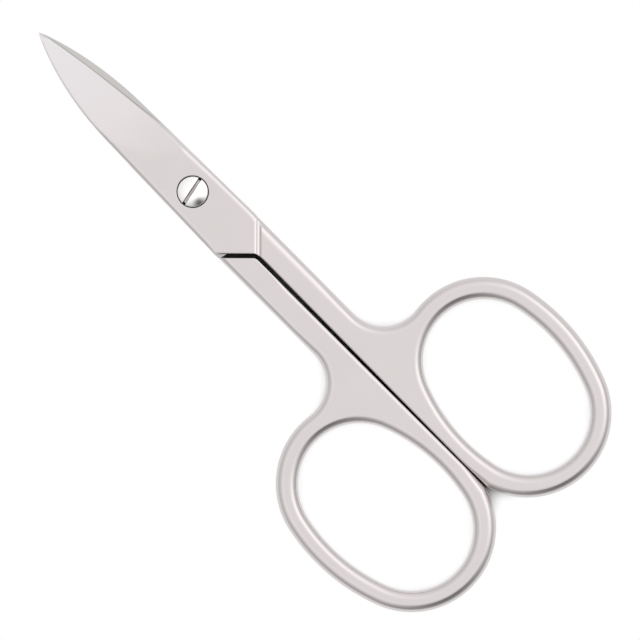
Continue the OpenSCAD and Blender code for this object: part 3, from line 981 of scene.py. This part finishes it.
# The lapped colours are darker than the steel: real lapped faces, painted darker as shade.
satin_steel = steel("satin steel", dark=(0.655, 0.61, 0.61), light=(0.69, 0.645, 0.645),
                    rough=0.24, grain=0.02, bump=0.05, scale=9000,
                    lapped_and_shaded=((0.56, 0.545, 0.53), 0.2))
polished_steel = steel("polished steel", dark=(0.96, 0.94, 0.93), light=(0.98, 0.965, 0.95),
                       rough=0.06, grain=0.02, bump=0.06, scale=6000,
                       lapped_and_shaded=((0.62, 0.58, 0.57), 0.45))
for piece, metal in ((front_half, satin_steel), (rear_half, satin_steel),
                     (screw, polished_steel)):
    piece.data.materials.append(metal)
    print(piece.name, "is of", metal.name)

# %% [markdown]
# Each piece rides on the CAD body it belongs to and stands for its CAD node, so the halves
# turn about the screw as the real ones do.

# %% Tie the pieces to the frame
for piece, body, cad, finish_and_shade in [
        (front_half, "upper_half", "front_half", "satin_steel"),
        (rear_half, "lower_half_and_screw", "rear_half", "satin_steel"),
        (screw, "lower_half_and_screw", "pivot_screw", "polished_steel")]:
    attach(piece, body)
    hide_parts(cad)
    print(piece.name, "rides on", body)

# %% [markdown]
# The scissors lie on a white table. White paint under a lamp would throw light up at the
# steel, so the table glows white only for the camera and for reflections, and is plain matt
# white for all other light. Close below the scissors it darkens, which keeps the contact
# shadow.

# %% Table
def seen_directly(tree):
    """1 for rays from the camera, a reflection or a clear piece, and 0 for all others."""
    rays = node(tree, "ShaderNodeLightPath")
    share = rays.outputs["Is Camera Ray"]
    for kind in ("Is Glossy Ray", "Is Transmission Ray"):
        either = node(tree, "ShaderNodeMath", operation="MAXIMUM")
        tree.links.new(share, either.inputs[0])
        tree.links.new(rays.outputs[kind], either.inputs[1])
        share = either.outputs[0]
    return share


def table_top(size, z):
    """A square sheet, x and y from -size to size."""
    mesh = bpy.data.meshes.new("table_top")
    corner = [(-size, -size, z), (size, -size, z), (size, size, z), (-size, size, z)]
    mesh.from_pydata(corner, [], [(0, 1, 2, 3)])
    return placed("table_top", mesh)


table = table_top(size=1.5, z=-0.00002)
white = bpy.data.materials.new("white table")
white.use_nodes = True
tree = white.node_tree
tree.nodes.clear()
near = node(tree, "ShaderNodeAmbientOcclusion", samples=16, Distance=0.005)
glow = node(tree, "ShaderNodeEmission")
matt = node(tree, "ShaderNodeBsdfDiffuse", Color=(0.8, 0.8, 0.8, 1))
mix = node(tree, "ShaderNodeMixShader")
out = node(tree, "ShaderNodeOutputMaterial")
for a, b in [(ramp(tree, near.outputs["AO"], 0.12, 0.5), glow.inputs["Color"]),
             (seen_directly(tree), mix.inputs["Fac"]), (matt.outputs[0], mix.inputs[1]),
             (glow.outputs[0], mix.inputs[2]), (mix.outputs[0], out.inputs["Surface"])]:
    tree.links.new(a, b)
table.data.materials.append(white)
print(table.name, "lies at", table.data.vertices[0].co.z)

# %% [markdown]
# A polished edge only shows because it mirrors something. As in a product studio, white walls
# fade to grey towards the floor, brighter round the softbox and darker where a black card
# stands, and only reflections see them.

# %% Studio walls
LIT = [(0.56, (243, 38), (52, 20)),       # round the softbox: by how much, where, how wide
       (0.22, (300, 80), (55, 30)),       # the curtain low down beside it
       (0.13, (88, 21), (55, 8))]         # the curtain overhead, opposite
CARDS = [(0.55, (154, 72), (70, 24)),     # grey, low behind the tips
         (0.6, (165, 36), (26, 10)),      # black, high
         (0.85, (165, 48), (29, 15))]     # black, below it


def lobe(azimuth, zenith, at, spread):
    """A soft spot: exp(-(turn / spread)^2 - (rise / spread)^2) round the direction at."""
    turn = (azimuth - at[0] + 180) % 360 - 180
    return np.exp(-(turn / spread[0]) ** 2 - ((zenith - at[1]) / spread[1]) ** 2)


def studio_grey(azimuth, zenith):
    """Grey of the studio walls: white overhead, falling to the curtain between 30 and 70
    degrees from the zenith, plus the lit lobes, times one minus each card's lobe."""
    t = np.clip((zenith - 30) / 40, 0, 1)
    level = 1 - 0.24 * t * t * (3 - 2 * t) + 0.07 * np.exp(-((zenith - 17) / 10) ** 2)
    for gain, at, spread in LIT:
        level = level + gain * lobe(azimuth, zenith, at, spread)
    for loss, at, spread in CARDS:
        level = level * (1 - loss * lobe(azimuth, zenith, at, spread))
    return level


def polar(azimuth, zenith, distance):
    """Points at that distance from the middle of the scissors, azimuth from +X to +Y:
    (sin z cos a, sin z sin a, cos z) times the distance."""
    a, z = np.radians(azimuth), np.radians(zenith)
    return np.stack([-0.02 + distance * np.sin(z) * np.cos(a),
                     distance * np.sin(z) * np.sin(a), distance * np.cos(z)], -1)


def studio_walls(name, lowest, distance):
    """A dome of walls down to the lowest zenith angle, with a grey at each point, that only
    reflections see."""
    across, up = np.meshgrid(np.linspace(0, 360, 121), np.linspace(3, lowest, 46))
    index = np.arange(up.size).reshape(up.shape)
    faces = np.stack([index[:-1, :-1], index[:-1, 1:], index[1:, 1:], index[1:, :-1]], -1)
    mesh = bpy.data.meshes.new(name)
    mesh.from_pydata(polar(across, up, distance).reshape(-1, 3).tolist(), [],
                     faces.reshape(-1, 4).tolist())
    shades = mesh.attributes.new("grey", "FLOAT", "POINT")
    shades.data.foreach_set("value", studio_grey(across, up).ravel().astype(np.float32))
    paint = bpy.data.materials.new(name)
    paint.use_nodes = True
    tree = paint.node_tree
    tree.nodes.clear()
    grey = node(tree, "ShaderNodeAttribute", attribute_name="grey")
    glow = node(tree, "ShaderNodeEmission")
    out = node(tree, "ShaderNodeOutputMaterial")
    tree.links.new(grey.outputs["Fac"], glow.inputs["Color"])
    tree.links.new(glow.outputs[0], out.inputs["Surface"])
    mesh.materials.append(paint)
    made = placed(name, mesh)
    made.visible_camera = made.visible_diffuse = made.visible_shadow = False
    return made


walls = studio_walls("studio_walls", lowest=94, distance=0.7)
print(walls.name, "of", len(walls.data.polygons), "faces")

# %% [markdown]
# The light is plain: one square softbox and an even white surround, which is a little lower
# for the light that falls on the steel, so that pale faces don't clip.

# %% Softbox and surround
def softbox(name, azimuth, zenith, size, watts, distance):
    """A square area lamp whose own -Z points at the middle of the scissors."""
    back = polar(azimuth, zenith, 1) - polar(azimuth, zenith, 0)
    side = np.cross([0, 0, 1], back)
    side = side / np.linalg.norm(side)
    axes = np.stack([side, np.cross(back, side), back], 1)
    lamp = bpy.data.lights.new(name, "AREA")
    lamp.size, lamp.energy = size, watts
    made = placed(name, lamp)
    made.matrix_world = (Matrix.Translation(polar(azimuth, zenith, distance))
                         @ Matrix(axes.tolist()).to_4x4())
    return made


key = softbox("key_softbox", azimuth=255, zenith=36, size=0.36, watts=0.05, distance=0.65)
world = bpy.data.worlds.new("white studio")
bpy.context.scene.world = world
world.use_nodes = True
sky = world.node_tree
backdrop = sky.nodes["Background"]
backdrop.inputs["Color"].default_value = (1, 1, 1, 1)
sky.links.new(ramp(sky, seen_directly(sky), 0, 1, 0.6, 1.0), backdrop.inputs["Strength"])
print(key.name, "at", [round(value, 2) for value in key.matrix_world.translation])

# %% [markdown]
# The photograph was taken from straight above with a long lens, with the scissors lying
# slantwise. The picture is 640 pixels wide and covers 82.17 mm.

# %% Camera
PICTURE_W, TURN, AIM = 0.08217, math.radians(225.2), (-0.0232, 0.0, 0.0032)
CAMERA_UP = 1.2                   # height above the scissors
camera = bpy.data.cameras.new("camera")
camera.sensor_width, camera.clip_start, camera.clip_end = 36.0, 0.05, 20
camera.lens = camera.sensor_width * CAMERA_UP / PICTURE_W
viewer = placed("camera", camera)
viewer.matrix_world = (Matrix.Translation((AIM[0], AIM[1], AIM[2] + CAMERA_UP))
                       @ Matrix.Rotation(TURN, 4, "Z"))
bpy.context.scene.camera = viewer
bpy.context.scene.view_settings.view_transform = "Standard"
print("lens of", round(camera.lens), "mm")

# %% [markdown]
# Last, the view layer is brought up to date. The finer surfaces have to stay inside the
# CAD model's box.

# %% Update the view layer
bpy.context.view_layer.update()
